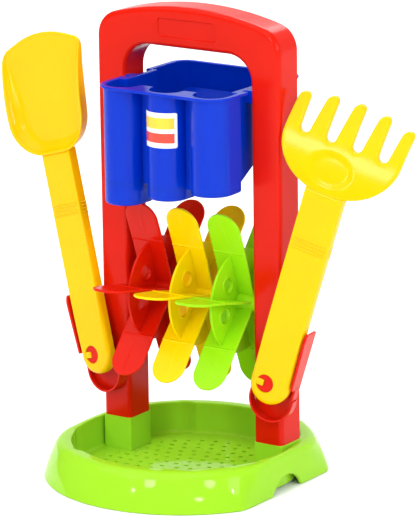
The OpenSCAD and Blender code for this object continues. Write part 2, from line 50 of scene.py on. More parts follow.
# The basin's half sizes at the rim, how much it narrows down to its floor, and how far the
# floor with the holes starts inside it
basin_x, basin_y, draft, floor_edge = 86, 77.5, 1, 6
# The finger arch under each flat side
finger_r, finger_top = 22.5, 13
hole_r, hole_pitch, hole_gap, hole_sides = 2, 9.6, 11, 16
# The legs' inner and outer sides and front face, and the post round each leg's foot
leg_in, leg_out, front, post_back, post_top = 59.5, 85.5, 7.8, 36.5, 32
leg_spans = (-leg_out, -leg_in), (leg_in, leg_out)


def linear(colour):
    """An sRGB hex colour as linear light, by the sRGB curve."""
    c = np.array([int(colour[i:i + 2], 16) for i in (0, 2, 4)]) / 255
    return (*np.where(c <= 0.04045, c / 12.92, ((c + 0.055) / 1.055) ** 2.4), 1.0)


def blank(name):
    """A new material and its node tree, without nodes."""
    material = bpy.data.materials.new(name)
    material.use_nodes = True
    material.node_tree.nodes.clear()
    return material, material.node_tree


def add(tree, kind, sockets={}, **settings):
    """A new node with its settings. Its sockets are set to a constant or linked."""
    node = tree.nodes.new(kind)
    for name, value in settings.items():
        setattr(node, name, value)
    for name, value in sockets.items():
        if isinstance(value, bpy.types.NodeSocket):
            tree.links.new(value, node.inputs[name])
        else:
            node.inputs[name].default_value = value
    return node


def plastic(name, colour, deep, roughness, subsurface, radius):
    """Dyed glossy polypropylene: the dye is a little denser in slow swirls about 45 mm long,
    the gloss changes over about 14 mm, and the skin has a waviness of about 6 mm from the
    mould. A noise's scale is how many of them go into a metre."""
    material, tree = blank(name)
    place = add(tree, "ShaderNodeTexCoord").outputs["Object"]
    swirl, gloss, waves = (
        add(tree, "ShaderNodeTexNoise", {"Vector": place, "Scale": scale, "Detail": detail})
        for scale, detail in ((22, 3), (70, 2), (160, 2)))
    dye = add(tree, "ShaderNodeMix", {"Factor": swirl.outputs["Fac"], "A": linear(colour),
                                      "B": linear(deep)}, data_type="RGBA")
    rough = add(tree, "ShaderNodeMapRange", {"Value": gloss.outputs["Fac"],
                                             "To Min": roughness * 0.8,
                                             "To Max": roughness * 1.25})
    bump = add(tree, "ShaderNodeBump", {"Height": waves.outputs["Fac"], "Strength": 0.12,
                                        "Distance": 0.0004})
    skin = add(tree, "ShaderNodeBsdfPrincipled",
               {"Base Color": dye.outputs["Result"], "Roughness": rough.outputs["Result"],
                "Normal": bump.outputs["Normal"], "IOR": 1.49, "Specular IOR Level": 0.14,
                "Subsurface Weight": subsurface, "Subsurface Radius": radius,
                "Subsurface Scale": 0.003})
    add(tree, "ShaderNodeOutputMaterial", {"Surface": skin.outputs["BSDF"]})
    return material


# Polypropylene moulded in lime green: its mould is the best polished of all, so lamps show
# in it as small clear spots
tray_green = plastic("tray_green", "98D02E", "90CA22", 0.05, 0.3, (0.5, 1.0, 0.1))


def loft(rings, rounds, steps=6, loop=True):
    """Rows of points from ring to ring. A ring P with a round turns along an arc from A to B,
    that far before and behind P: the mean of A, P and B with the weights (1-q)^2, 2q(1-q)w
    and q^2, where w is half of AB over the round. A near row each side keeps flats flat."""
    rings = np.array(np.broadcast_arrays(*[np.asarray(r, float) for r in rings]))
    q = np.linspace(0, 1, steps + 1)[:, None, None]
    rows = []
    for j, p in enumerate(rings):
        t = np.broadcast_to(np.asarray(rounds[j], float), p.shape[:1])
        if t.max() == 0 or (not loop and j in (0, len(rings) - 1)):
            rows.append(p[None])
            continue
        before, after = rings[j - 1], rings[(j + 1) % len(rings)]
        la = np.maximum(np.linalg.norm(before - p, axis=1), 1e-6)
        lb = np.maximum(np.linalg.norm(after - p, axis=1), 1e-6)
        t = np.maximum(np.minimum(t, 0.98 * np.minimum(la, lb)), 1e-4)
        a = p + (before - p) * (t / la)[:, None]
        b = p + (after - p) * (t / lb)[:, None]
        w = (np.linalg.norm(a - b, axis=1) / (2 * t))[:, None]
        weights = (1 - q) ** 2, 2 * q * (1 - q) * w, q ** 2
        arc = (weights[0] * a + weights[1] * p + weights[2] * b) / sum(weights)
        near_a, near_b = (
            np.minimum(0.04, 0.3 * np.maximum(free - taken, 0) / np.maximum(free, 1e-6))[:, None]
            for free, taken in ((la - t, rounds[j - 1]), (lb - t, rounds[(j + 1) % len(rings)])))
        rows += [(a + (before - a) * near_a)[None], arc, (b + (after - b) * near_b)[None]]
    return np.concatenate(rows)


def outline(corners, rounds, steps=6):
    """A closed flat curve through corners, each turned along an arc."""
    return loft(np.array(corners, float)[:, None], rounds, steps)[:, 0]


def grid(points, rows=False, columns=True, caps=False):
    """Points and faces of a grid: quads between neighbours, closed both ways if asked, and a
    flat face on its first and last row."""
    n, m = points.shape[:2]
    index = np.arange(n * m).reshape(n, m)
    ends = [index[0].tolist(), index[-1].tolist()] if caps else []
    if rows:
        index = np.vstack([index, index[:1]])
    if columns:
        index = np.hstack([index, index[:, :1]])
    quads = np.stack([index[:-1, :-1], index[1:, :-1], index[1:, 1:], index[:-1, 1:]], -1)
    return points.reshape(-1, 3), quads.reshape(-1, 4).tolist() + ends


def build(name, parts, body, material, *nodes):
    """One piece from parts of points and faces, on a body, in place of CAD nodes. Points at
    one place are joined, normals point out, and edges over 38 degrees stay sharp. Its slot
    has its material's name."""
    points, faces, first = [], [], 0
    for p, f in parts:
        points.append(p)
        faces += [[first + k for k in face] for face in f]
        first += len(p)
    mesh = bpy.data.meshes.new(name)
    mesh.from_pydata((np.concatenate(points) / 1000).tolist(), [], faces)
    work = bmesh.new()
    work.from_mesh(mesh)
    bmesh.ops.remove_doubles(work, verts=work.verts, dist=2e-6)
    bmesh.ops.recalc_face_normals(work, faces=work.faces)
    work.to_mesh(mesh)
    work.free()
    mesh.shade_smooth()
    mesh.set_sharp_from_angle(angle=radians(38))
    mesh.materials.append(material)
    piece = bpy.data.objects.new(name, mesh)
    bpy.context.scene.collection.objects.link(piece)
    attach(piece, body)
    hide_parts(*nodes)
    return piece


def inside(points, outlines):
    """True where a line to the right of a point crosses an odd number of edges."""
    a = np.concatenate(outlines)
    b = np.concatenate([np.roll(o, -1, 0) for o in outlines])
    x, y = points[:, :1], points[:, 1:]
    rise = np.where(a[:, 1] == b[:, 1], 1, b[:, 1] - a[:, 1])
    cross = a[:, 0] + (y - a[:, 1]) * (b[:, 0] - a[:, 0]) / rise
    return (((a[:, 1] > y) != (b[:, 1] > y)) & (cross > x)).sum(1) % 2 == 1


def fill(outlines, gap=0):
    """Triangles over the flat area between an outline and its holes, with inner points on a
    square grid that far apart. Returns flat points and faces."""
    points = np.concatenate(outlines)
    edges, first = [], 0
    for o in outlines:
        k = np.arange(len(o))
        edges += np.stack([first + k, first + (k + 1) % len(o)], 1).tolist()
        first += len(o)
    if gap:
        lo, hi = points.min(0), points.max(0)
        g = np.stack(np.meshgrid(np.arange(lo[0], hi[0], gap), np.arange(lo[1], hi[1], gap)),
                     -1).reshape(-1, 2)
        g = g[inside(g, outlines)]
        near = np.array([np.hypot(*(points - p).T).min() for p in g])
        points = np.concatenate([points, g[near > 0.6 * gap]])
    found = delaunay_2d_cdt([Vector(p) for p in points], edges, [], 0, 1e-5)
    flat = np.array([tuple(v) for v in found[0]])
    faces = np.array(found[2])
    faces = faces[inside(flat[faces].mean(1), outlines)]
    return flat, faces.tolist()


def block(low, high, edge=0.8, upright=0.8, steps=4):
    """A box with rounded edges: its plan's corners and its upper and lower edges turn along
    arcs, and each end closes in its middle."""
    (x0, y0, z0), (x1, y1, z1) = low, high
    plan = outline([[x0, y0, 0], [x1, y0, 0], [x1, y1, 0], [x0, y1, 0]], [upright] * 4, steps)
    middle = np.array([(x0 + x1) / 2, (y0 + y1) / 2, 0])
    rings = [middle + [0, 0, z0], plan + [0, 0, z0], plan + [0, 0, z1], middle + [0, 0, z1]]
    return grid(loft(rings, [0, edge, edge, 0], steps, loop=False))


turn = np.linspace(0, 2 * pi, 720, endpoint=False)
way = np.stack([np.cos(turn), np.sin(turn), 0 * turn], 1)


def skirt(round_r, half):
    """Radius of the tray each way round: the round side's or the flat side's, whichever is
    less, with a soft least -k ln(e^(-a/k) + e^(-b/k)) where they meet."""
    k = 1.3
    flat = half / np.maximum(np.abs(np.cos(turn)), 0.05)
    return -k * np.logaddexp(-round_r / k, -flat / k)


def at(radius, z):
    """A ring round the tray: that radius each way, at height z."""
    return way * radius[:, None] + np.stack([0 * turn, 0 * turn, z + 0 * turn], 1)


side_y, front_x = 0.4 * basin_y, 0.62 * basin_x
eight = outline([[basin_x, -side_y, 0], [basin_x, side_y, 0], [front_x, basin_y, 0],
                 [-front_x, basin_y, 0], [-basin_x, side_y, 0], [-basin_x, -side_y, 0],
                 [-front_x, -basin_y, 0], [front_x, -basin_y, 0]], [6] * 8, 8)
angle = np.unwrap(np.arctan2(eight[:, 1], eight[:, 0]))
basin = np.interp(turn, angle, np.hypot(eight[:, 0], eight[:, 1]), period=2 * pi)
foot, rim = skirt(foot_r, foot_half), skirt(rim_r, rim_half)
rim_width = rim - basin
# Height of the foot's edge: 0, but a circle's arc in each finger arch
across = foot_half * np.tan(turn)
arch = finger_top - finger_r + np.sqrt(np.maximum(finger_r ** 2 - across ** 2, 0))
arch = np.where((np.abs(np.cos(turn)) > 0.9) & (np.abs(across) < finger_r), arch, 0)
arch = np.maximum(arch, 0)
# The skirt stands 1.5 mm out of a straight slope near half its height
belly = 0.52 * foot + 0.48 * rim + 1.5
shell = loft([at(foot, arch), at(belly, 14.5), at(rim, rim_top), at(basin, rim_top),
              at(basin - draft, floor_top), at(basin - floor_edge, floor_top),
              at(basin - floor_edge, floor_low), at(basin - draft + tray_wall, floor_low),
              at(basin + tray_wall, rim_top - tray_wall),
              at(rim - tray_wall, rim_top - tray_wall), at(foot - tray_wall, arch)],
             [0.6, 9, np.minimum(6, 0.6 * rim_width), np.minimum(1.5, 0.3 * rim_width), 2.4,
              0, 0, 1, 0, 0, 0.6], 9)
# Drain holes in rings round the middle one
drains = [np.zeros(2)]
for ring in range(1, 8):
    count = round(2 * pi * ring * hole_pitch / hole_gap)
    k = np.arange(count) * 2 * pi / count + pi
    drains += list(hole_pitch * ring * np.stack([np.cos(k), np.sin(k)], 1))
drain = hole_r * way[::len(turn) // hole_sides, :2]
flat, faces = fill([at(basin - floor_edge, 0)[::4, :2]] + [h + drain for h in drains])
floor_z = floor_top, floor_low
floors = [(np.column_stack([flat, np.full(len(flat), z)]), faces) for z in floor_z]
drain_walls = [grid(np.stack([np.column_stack([h + drain, np.full(hole_sides, z)])
                              for z in floor_z])) for h in drains]
posts = [block([low, front, floor_top - 1], [high, post_back, post_top], 0.5, 1.2)
         for low, high in leg_spans]
build("base_tray", [grid(shell, rows=True)] + floors + drain_walls + posts,
      "stand", tray_green, "base_tray")

# Frame. One red moulding, open behind: a channel runs up one leg, over the arched grip and
# down the other leg. The grip carries a shallow plate with rounded corners, and ribs stiffen
# the channel. Closed blocks at the bottom of the legs plug into the tray's posts.
back, wall, ankle_top = 34.2, 2.5, 67
# The arch is part of a circle round (0, crown_z) that turns into each leg by a shoulder, and
# the grip's opening is straight on top with round corners
crown_z, crown_r, shoulder_r, grip_top, grip_r = 102, 270, 20, 339.5, 22
# The sunk plate's middle, half sizes, corner and depth
plate_z, plate_half, plate_corner, plate_depth = 354.75, np.array([27, 0, 7.15]), 2.4, 1.3
rib = 1.8
# The axle's middle, and the seats that hold it: outer radius, half the slot and its back
axis = np.array([0, 21, 141.0])
seat_r, slot_half, seat_back = 6.5, 3.6, 34

# Polypropylene moulded in a warm signal red: glossy, and nearly opaque to the eye
frame_red = plastic("frame_red", "D01A04", "C81402", 0.2, 0.12, (1.0, 0.12, 0.05))


def arc(centre, r, start, end, n):
    """n points of a circle in the XZ plane from one angle to another, in degrees."""
    a = np.radians(np.linspace(start, end, n))
    return np.stack([centre[0] + r * np.cos(a), 0 * a, centre[1] + r * np.sin(a)], 1)


grip_x, shoulder_x = leg_in - grip_r, leg_out - shoulder_r
shoulder_z = crown_z + sqrt((crown_r - shoulder_r) ** 2 - shoulder_x ** 2)
lean = degrees(atan2(shoulder_z - crown_z, -shoulder_x))
x = np.linspace(-grip_x, grip_x, 241)
up_in, up_out = (np.linspace(post_top, z, 60) for z in (grip_top - grip_r, shoulder_z))
inner = [np.stack([0 * up_in - leg_in, 0 * up_in, up_in], 1),
         arc((-grip_x, grip_top - grip_r), grip_r, 180, 90, 26)[1:]]
outer = [np.stack([0 * up_out - leg_out, 0 * up_out, up_out], 1),
         arc((-shoulder_x, shoulder_z), shoulder_r, 180, lean, 13)[1:],
         arc((0, crown_z), crown_r, lean, degrees(acos(-grip_x / crown_r)), 14)[1:]]
flip = np.array([-1, 1, 1])
inner = np.concatenate(inner + [np.stack([x, 0 * x, 0 * x + grip_top], 1)[1:-1]]
                       + [p[::-1] * flip for p in inner[::-1]])
# Over the grip's straight top the arch lies 0.06 mm lower
crown = crown_z - 0.06 + np.sqrt(crown_r ** 2 - x ** 2)
outer = np.concatenate(outer + [np.stack([x, 0 * x, crown], 1)[1:-1]]
                       + [p[::-1] * flip for p in outer[::-1]])


def inward(curve, d):
    """A curve in the XZ plane moved sideways by d: its direction turned a quarter."""
    t = np.gradient(curve, axis=0)
    t /= np.linalg.norm(t, axis=1)[:, None]
    return curve + d * np.stack([t[:, 2], 0 * t[:, 0], -t[:, 0]], 1)


def set_y(curve, y):
    """A curve with all its points put at that y."""
    return np.stack([curve[:, 0], y + 0 * curve[:, 0], curve[:, 2]], 1)


rows = []
for share in np.linspace(0.2, 0.82, 84):
    row = outer + (inner - outer) * share
    # The distance from the plate's rounded rectangle, and a smooth step down inside it
    q = np.abs(row - [0, 0, plate_z]) - plate_half + [plate_corner, 0, plate_corner]
    gap = np.hypot(np.maximum(q[:, 0], 0), np.maximum(q[:, 2], 0)) - plate_corner
    gap += np.minimum(np.maximum(q[:, 0], q[:, 2]), 0)
    s = np.clip(0.5 - gap / 0.6, 0, 1)
    rows.append(set_y(row, front + plate_depth * s * s * (3 - 2 * s)))
inner_wall, outer_wall = inward(inner, -wall), inward(outer, wall)
rings = ([set_y(outer, back), set_y(outer, front)] + rows
         + [set_y(inner, front), set_y(inner, back), set_y(inner_wall, back),
            set_y(inner_wall, front + wall), set_y(outer_wall, front + wall),
            set_y(outer_wall, back)])
rounds = [0.5, 4.2] + [0] * len(rows) + [3.6, 0.5, 0.5, 1.5, 1.5, 0.5]
channel = loft(rings, rounds, 8)
rib_y = front + 2.2, back - 0.5
ribs = []
for z in range(105, 300, 38):
    ribs += [block([low + 2, rib_y[0], z], [high - 2, rib_y[1], z + rib], 0.3, 0.3, 2)
             for low, high in leg_spans]
for x0 in (9.5, 28.5, 47.5):
    top = crown_z + sqrt(crown_r ** 2 - (x0 + rib) ** 2) - 1
    for low, high in ((-x0 - rib, -x0), (x0, x0 + rib)):
        ribs.append(block([low, rib_y[0], grip_top + 0.5], [high, rib_y[1], top], 0.3, 0.3, 2))
ankles = [block([low + 0.05, front + 0.05, post_top + 0.1], [high - 0.05, post_back, ankle_top],
                0.8, 3.9) for low, high in leg_spans]
# The seats of the axle, open to the back so that the axle snaps in
seat = [[-seat_r, -seat_r], [seat_back - axis[1], -seat_r], [seat_back - axis[1], -slot_half],
        [-4.05, -slot_half]]
seat = outline([[0, *p] for p in seat] + [[0, p[0], -p[1]] for p in seat[::-1]],
               [1, 0.5, 0.5, slot_half, slot_half, 0.5, 0.5, 1], 5) + axis
seats = [grid(np.stack([seat + [s * (leg_in + d), 0, 0] for d in (0.1, 6.9)]), caps=True)
         for s in (-1, 1)]
build("frame_arch", [grid(channel, rows=True, columns=False)], "stand", frame_red, "frame")
build("frame_ribs_and_seats", ribs + seats, "stand", frame_red, "frame")
build("frame_ankles", ankles, "stand", frame_red, "frame")

# Holders. Beside each leg the frame carries a flat plate with a cup for the end of a tool's
# handle, a guard along its outer edge and a peg for its hang hole.

# How the right tool leans on its peg, and the peg's place
tilt = np.array(Matrix.Rotation(radians(9.5), 3, "Z") @ Matrix.Rotation(radians(16.3), 3, "Y")
                @ Matrix.Rotation(radians(-2), 3, "X"))
peg_place = [83.3, -6.9, 85.3]
# In a tool's own frame: the peg's middle, radius and notch, the cup's middle, radii and
# height of its arms, the guard's sides, and the back of all
peg_x, peg_r, notch_half = -3.4, 6.9, 2.9
cup_x, cup_z, cup_out, cup_in, cup_arm = 2.2, -13.6, 18.5, 17, 5
guard_in, guard_out, holder_back = 17.75, 19.75, 17


def hang(points, side):
    """Points of a tool's own frame (x across, y back, z along it from the hang hole) on the
    right leg's peg, or mirrored on the left leg's."""
    mirror = np.array([side, 1, 1])
    return ((np.asarray(points) * mirror) @ tilt.T + peg_place) * mirror


def prism(curve, y0, y1, side):
    """A curve in a tool's XZ plane carried from y0 back to y1."""
    return grid(np.stack([hang(set_y(curve, y), side) for y in (y0, y1)]), caps=True)


for side, name in ((-1, "left"), (1, "right")):
    middle = cup_x * side, cup_z
    right_arm, left_arm = (np.array([[middle[0] + s * cup_out, 0, cup_z + cup_arm],
                                     [middle[0] + s * cup_in, 0, cup_z + cup_arm]])
                           for s in (1, -1))
    cup = np.concatenate([arc(middle, cup_out, 180, 360, 33), right_arm,
                          arc(middle, cup_in, 360, 180, 33), left_arm[::-1]])
    # The guard stands beside the handle from 2 to 50 mm up it, and the rail beside the cup
    guard = outline([[0, 1.5, 2], [0, -1.5, 44], [0, 0, 50], [0, holder_back, 50],
                     [0, holder_back, 2]], [0.5, 2, 2, 0.5, 0.5], 4)
    rail = outline([[0, 8.5, cup_z], [0, 8.5, 3], [0, holder_back, 3],
                    [0, holder_back, cup_z]], [0.3] * 4, 2)
    guards = [grid(np.stack([hang(g + [side * x, 0, 0], side) for x in (guard_in, guard_out)]),
                   caps=True) for g in (guard, rail)]
    peg = arc((peg_x, 0), peg_r, 0, 360, 49)[:-1]
    # The peg's head is a C: its round without the points in the notch, walked by angle, and
    # then the notch's four corners
    head = np.array([p for p in peg if not (p[0] < peg_x and abs(p[2]) < notch_half)])
    head = head[np.argsort(np.arctan2(head[:, 2], head[:, 0] - peg_x))]
    head = np.concatenate([head, [[peg_x - x, 0, z] for x, z in (
        (6.2, notch_half), (0.9, notch_half), (0.9, -notch_half), (6.2, -notch_half))]])
    pegs = [prism(head, 1, 2.6, side), prism(peg, 2.6, holder_back, side)]
    corners = np.array([[-10, 15, 44], [guard_out, 15, 44], [guard_out, 15, cup_z]])
    ends = (360, 180) if side > 0 else (180, 360)
    plate = np.concatenate([hang(corners * [side, 1, 1], side),
                            hang(set_y(arc(middle, cup_out, *ends, 25), 15), side),
                            hang([[-10 * side, 15, cup_z]], side)])
    plates = grid(np.stack([set_y(plate, front + 0.05), set_y(plate, front + 2.4)]), caps=True)
    build("holder_" + name, [prism(cup, 8.5, holder_back, side), plates] + guards + pegs,
          "stand", frame_red, "frame")

# Hopper. One blue moulding: a trough whose front wall has three rounded lobes, each going on
# down into a spout with a hole in its bottom. Its floor slopes down to the spouts, and a flat
# rim runs round it with a notch for each leg.
rim_z, rim_thick, rim_out, trough_z, hopper_wall = 313, 2.3, 2.4, 235.5, 2
# The lobes: their middles, radius, the round of their corners and the web between them
lobe_pitch, lobe_r, lobe_round, web = 41, 16.4, 16.25, -18
lobes, lobe_front = (-lobe_pitch, 0, lobe_pitch), web - lobe_r
# The floor rises from slope_y to a height of back_z at the back wall
slope_y, back_y, back_z = -5.1, 83, 291
# The notch for a leg: how far in it reaches, its front and back sides, and the rim's own
# front side. Its walls hang down in an apron that rises behind apron_y.
notch_x, notch_front, notch_back, rim_notch = 51, -2, 37, 5
apron_z, apron_y, apron_rise = 237.5, 22, 24.5 / 15
# The longest spout's low end, how much shorter the next ones are, and their holes
spout_z, spout_step, spout_hole_r = 218.5, 8.5, 6
hook_in, hook_out = 49.7, 61.8

# Polypropylene moulded in ultramarine blue: glossy outside, and deep and dark in the hollows
hopper_blue = plastic("hopper_blue", "0034BA", "002CB2", 0.2, 0.35, (0.05, 0.15, 1.0))


def walked(curve):
    """The length walked along a curve up to each of its points."""
    return np.concatenate([[0], np.cumsum(np.linalg.norm(np.diff(curve, axis=0), axis=1))])


def hopper_plan(d, groove_front, groove_back, straight=False):
    """The hopper's plan drawn out by d, from the left lobe's back corner anticlockwise.
    Inner corners get a smaller turn as it is drawn out and outer ones a larger. A straight
    one runs level in front of the lobes, with its points spread towards equal steps."""
    half, y0, groove = lobe_pitch + lobe_r + d, lobe_front - d, notch_x + d
    points, turns = [], []
    for x0 in lobes:
        low_x, high_x = x0 - lobe_r - d, x0 + lobe_r + d
        points += [[low_x, y0], [high_x, y0]]
        turns += [min(lobe_r + d, lobe_round)] * 2
        if x0 < lobe_pitch:
            points += [[high_x, web - d], [x0 + lobe_pitch - lobe_r - d, web - d]]
            turns += [max(-0.95 * d, 0.12)] * 2
    turns[0] = turns[-1] = lobe_r + d
    right = [[half, groove_front], [groove, groove_front], [groove, groove_back],
             [half, groove_back], [half, back_y + d]]
    points += right + [[-p[0], p[1]] for p in right[::-1]]
    turns += [1.5] * 4 + [11.6 + d] * 2 + [1.5] * 4
    curve = outline([[p[0], p[1], 0] for p in points], turns, 12)
    if straight:
        k = np.flatnonzero((curve[:, 1] < web + 0.01) & (np.abs(curve[:, 0]) < lobe_pitch))
        walk = walked(curve[k])
        share = walk / walk[-1]
        curve[k, 0] = 0.6 * curve[k, 0] + 0.4 * (curve[k[0], 0] * (1 - share)
                                                 + curve[k[-1], 0] * share)
        curve[k, 1] = y0
    return curve


body = hopper_plan(0, notch_front, notch_back)
cavity = hopper_plan(-hopper_wall, notch_front - hopper_wall, notch_back + hopper_wall)
lip = hopper_plan(rim_out, rim_notch, notch_back, straight=True)


def floor_height(curve):
    """Height of the floor's underside: level in front, then rising evenly to the back."""
    rise = (back_z - trough_z) / (back_y - slope_y)
    return np.maximum(trough_z, trough_z + (curve[:, 1] - slope_y) * rise)


def level(curve, z):
    """A curve with all its points put at that height, or each at its own."""
    return np.stack([curve[:, 0], curve[:, 1], z + 0 * curve[:, 0]], 1)


def wall_foot(curve, out):
    """Height of the walls' lower edge: the floor's, but in the legs' notches an apron goes
    lower and rises to the floor behind the leg."""
    x, y = np.abs(curve[:, 0]), curve[:, 1]
    apron = apron_z + np.maximum(y - apron_y, 0) * apron_rise
    notch = ((x < notch_x + 0.2 - out) & (y > notch_front - 0.2 - out)
             & (y < notch_back + 0.2 + out))
    return np.where(notch, np.minimum(floor_height(curve), apron), floor_height(curve))


walls = loft([level(body, wall_foot(body, 0)), level(body, rim_z - rim_thick),
              level(lip, rim_z - rim_thick), level(lip, rim_z), level(cavity, rim_z),
              level(cavity, wall_foot(cavity, hopper_wall))], [0, 0.5, 0.9, 0.9, 0.8, 0], 4)
# The sloping floor, let 1 mm into the walls at each distance back
y = np.array([-17, -5.1, -3.01, -3, 38, 38.01, 60, 73, 79, 81, 82.0])
half = np.array([56.4, 56.4, 56.4, 50, 50, 56.4, 56.4, 55.6, 53.2, 50, 45])
u = np.linspace(-1, 1, 9)
plate = np.stack([half[:, None] * u, y[:, None] + 0 * u, 0 * half[:, None] * u], -1)
under = plate + [0, 0, 1] * floor_height(plate.reshape(-1, 3)).reshape(len(y), len(u), 1)
over = under + [0, 0, 2.2]
sheet = grid(np.concatenate([under, over[:, ::-1]], axis=1), caps=True)
# The three spouts, each shorter than the one on its left
spouts = []
for k, x0 in enumerate(lobes):
    low_z, join_z = spout_z + spout_step * k, trough_z + 1.5
    low_x, high_x = x0 - lobe_r, x0 + lobe_r
    plan = outline([[low_x, slope_y, 0], [low_x, lobe_front, 0], [high_x, lobe_front, 0],
                    [high_x, slope_y, 0]], [0.8, lobe_round, lobe_round, 0.8], 12)
    middle = np.array([x0, web, 0])
    towards = plan - middle
    towards = towards / np.linalg.norm(towards, axis=1)[:, None]
    hole, inset = middle + spout_hole_r * towards, plan - hopper_wall * towards
    plan = plan - 0.02 * towards
    rings = [level(plan, join_z), level(plan, low_z), level(hole, low_z),
             level(hole, low_z + hopper_wall), level(inset, low_z + hopper_wall),
             level(inset, join_z)]
    spouts.append(grid(loft(rings, [0, 2.2, 0.5, 0.3, 0.8, 0], 6), rows=True))
hooks = [block([low, 9.6, 303], [high, 17.5, rim_z - 0.1], 0.5, 0.5, 3)
         for low, high in ((-hook_out, -hook_in), (hook_in, hook_out))]
build("hopper", [grid(walls, rows=True), sheet] + spouts + hooks, "stand", hopper_blue,
      "hopper")

# Label. A plain film label with rounded corners, stuck round the middle lobe. It bears two
# plain bands of colour and no words.
label_turn, label_tall, label_corner = radians(120), 27.6, 1.6
label_wide = lobe_r * label_turn
label_z = trough_z + (rim_z - trough_z) * 0.62 - label_tall / 2

# Printed polypropylene film: white, with a softer gloss than the moulded plastic
film, tree = blank("label_film")
uv = add(tree, "ShaderNodeTexCoord").outputs["UV"]
split = add(tree, "ShaderNodeSeparateXYZ", {"Vector": uv})


def near(share, low, high):
    """1 where a share of the label's width or height is between low and high, else 0: its
    distance from their middle against half of their difference."""
    away = add(tree, "ShaderNodeMath", {0: share, 1: (low + high) / 2}, operation="SUBTRACT")
    away = add(tree, "ShaderNodeMath", {0: away.outputs[0]}, operation="ABSOLUTE")
    return add(tree, "ShaderNodeMath", {0: away.outputs[0], 1: (high - low) / 2},
               operation="LESS_THAN").outputs[0]


ink = linear("F4F2EE")
for low, high, colour in ((0.54, 0.86, "F2C230"), (0.14, 0.42, "D8402C")):
    band = add(tree, "ShaderNodeMath", {0: near(split.outputs["Y"], low, high),
                                        1: near(split.outputs["X"], 0.07, 0.93)},
               operation="MULTIPLY")
    ink = add(tree, "ShaderNodeMix", {"Factor": band.outputs[0], "A": ink, "B": linear(colour)},
              data_type="RGBA").outputs["Result"]
skin = add(tree, "ShaderNodeBsdfPrincipled", {"Base Color": ink, "Roughness": 0.32})
add(tree, "ShaderNodeOutputMaterial", {"Surface": skin.outputs["BSDF"]})
flat, faces = fill([outline([[0, 0, 0], [label_wide, 0, 0], [label_wide, label_tall, 0],
                             [0, label_tall, 0]], [label_corner] * 4)[:, :2]], 1.2)
# Each point at its angle round the lobe, in front of it by the film and the glue
a = -pi / 2 - label_turn / 2 + flat[:, 0] / lobe_r
faces_out, faces_in = (
    (np.stack([r * np.cos(a), web + r * np.sin(a), label_z + flat[:, 1]], 1), faces)
    for r in (lobe_r + 0.32, lobe_r + 0.16))
label = build("hopper_label", [faces_out, faces_in], "stand", film, "hopper_label")
layer = label.data.uv_layers.new(name="label")
vertex = np.empty(len(label.data.loops), int)
label.data.loops.foreach_get("vertex_index", vertex)
place = np.empty(len(label.data.vertices) * 3)
label.data.vertices.foreach_get("co", place)
x, y, z = place.reshape(-1, 3).T * 1000
share = (np.arctan2(y - web, x) + pi / 2 + label_turn / 2) / label_turn
layer.data.foreach_set("uv", np.stack([share, (z - label_z) / label_tall], 1)[vertex].ravel())

# Axle. A rod moulded of plastic without dye: square between the wheels to key them, and
# round at its ends, which snap into the legs' seats from behind.
square_half, square_end, journal_r, journal_start, journal_end = 3.3, 58.9, 4, 58, 65.4

# Polypropylene moulded without dye: milky white, and less glossy than the dyed parts
axle_white = plastic("axle_white", "E8E6DE", "E2E0D8", 0.35, 0.2, (1.0, 0.9, 0.8))

square = outline([[0, y * square_half, z * square_half]
                  for y, z in ((-1, -1), (1, -1), (1, 1), (-1, 1))], [0.5] * 4)
a = np.linspace(0, 2 * pi, 48, endpoint=False)
circle = np.stack([0 * a, np.cos(a), np.sin(a)], 1)
rod = [grid(np.stack([axis + square + [x, 0, 0] for x in (-square_end, square_end)]),
            caps=True)]
for s in (-1, 1):
    rod.append(grid(loft([axis + [s * x, 0, 0] + r * circle for x, r in (
        (journal_start, 0), (journal_start, journal_r), (journal_end, journal_r),
        (journal_end, 0))], [0, 0, 0.6, 0], 4, loop=False)))
build("axle", rod, "wheels", axle_white, "axle")

# Paddle wheels. Three alike mouldings in red, yellow and green. Each has a hub that spaces it
# from the next one, a thin disc with an oval hole between two paddles, and six flat paddles
# with a round end, a small ridge where they bend and a faint line down the outer half.
wheel_pitch, paddles, first_paddle = 39, 6, 11.7
# A paddle: half its width and thickness, its end, the round of its edge, and its bend
paddle_half, half_thick, tip, paddle_edge = 15, 1, 79.5, 0.8
bend_r, bend_angle = 44, radians(3)
# The disc: outer radius, half its thickness, and half that of the bead round each oval hole
disc_r, disc_half, bead_half = 41.5, 1, 1.6
oval_low, oval_high, oval_half = 18, 30.5, 5.5
hub_r, hub_half, bore_r = 7, 19.3, 4.1

# Polypropylene moulded in a lighter lemon yellow than the tools', for the middle wheel
wheel_yellow = plastic("wheel_yellow", "EECC02", "EAC400", 0.2, 0.25, (1.0, 0.6, 0.05))
# Polypropylene moulded in grass green: light shines a little through its thin paddles
wheel_green = plastic("wheel_green", "98D814", "8CD00C", 0.22, 0.12, (0.4, 1.0, 0.1))


def spin(points, angle):
    """Points turned about the axle, from along +Y."""
    s, c = sin(angle), cos(angle)
    x, y, z = np.moveaxis(np.asarray(points, float), -1, 0)
    return np.stack([x, y * c - z * s, y * s + z * c], -1)


